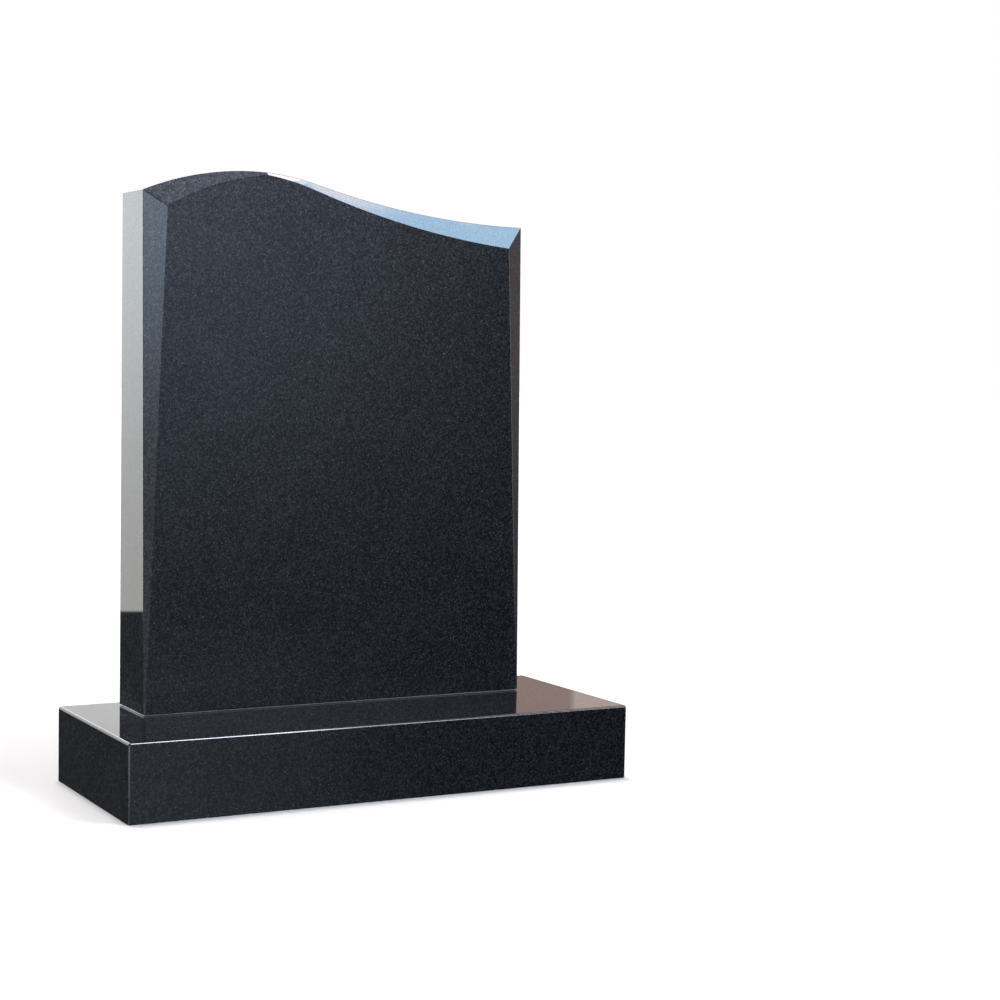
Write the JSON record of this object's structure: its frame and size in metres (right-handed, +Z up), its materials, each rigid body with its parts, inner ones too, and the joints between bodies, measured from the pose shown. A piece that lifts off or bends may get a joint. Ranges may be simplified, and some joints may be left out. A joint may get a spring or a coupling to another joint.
{
  "type": "headstone",
  "caption": "Polished black granite headstone: upright tablet with an asymmetric ogee top and a tapering bevel round its bare face, on a plain rectangular base.",
  "frame": {"origin": "middle of the underside of the base, on the ground", "axes": "+Z up, +Y from the bevelled front face towards the back, +X to the right of someone facing the stone"},
  "size_m": [0.762, 0.305, 0.865],
  "materials": {
    "base_granite": "mirror-polished fine-grained black granite with faint grey crystals",
    "tablet_granite": "mirror-polished fine-grained black granite with faint grey crystals"
  },
  "bodies": {
    "root": {"base": "base_granite", "tablet": "tablet_granite"}
  },
  "joints": []
}
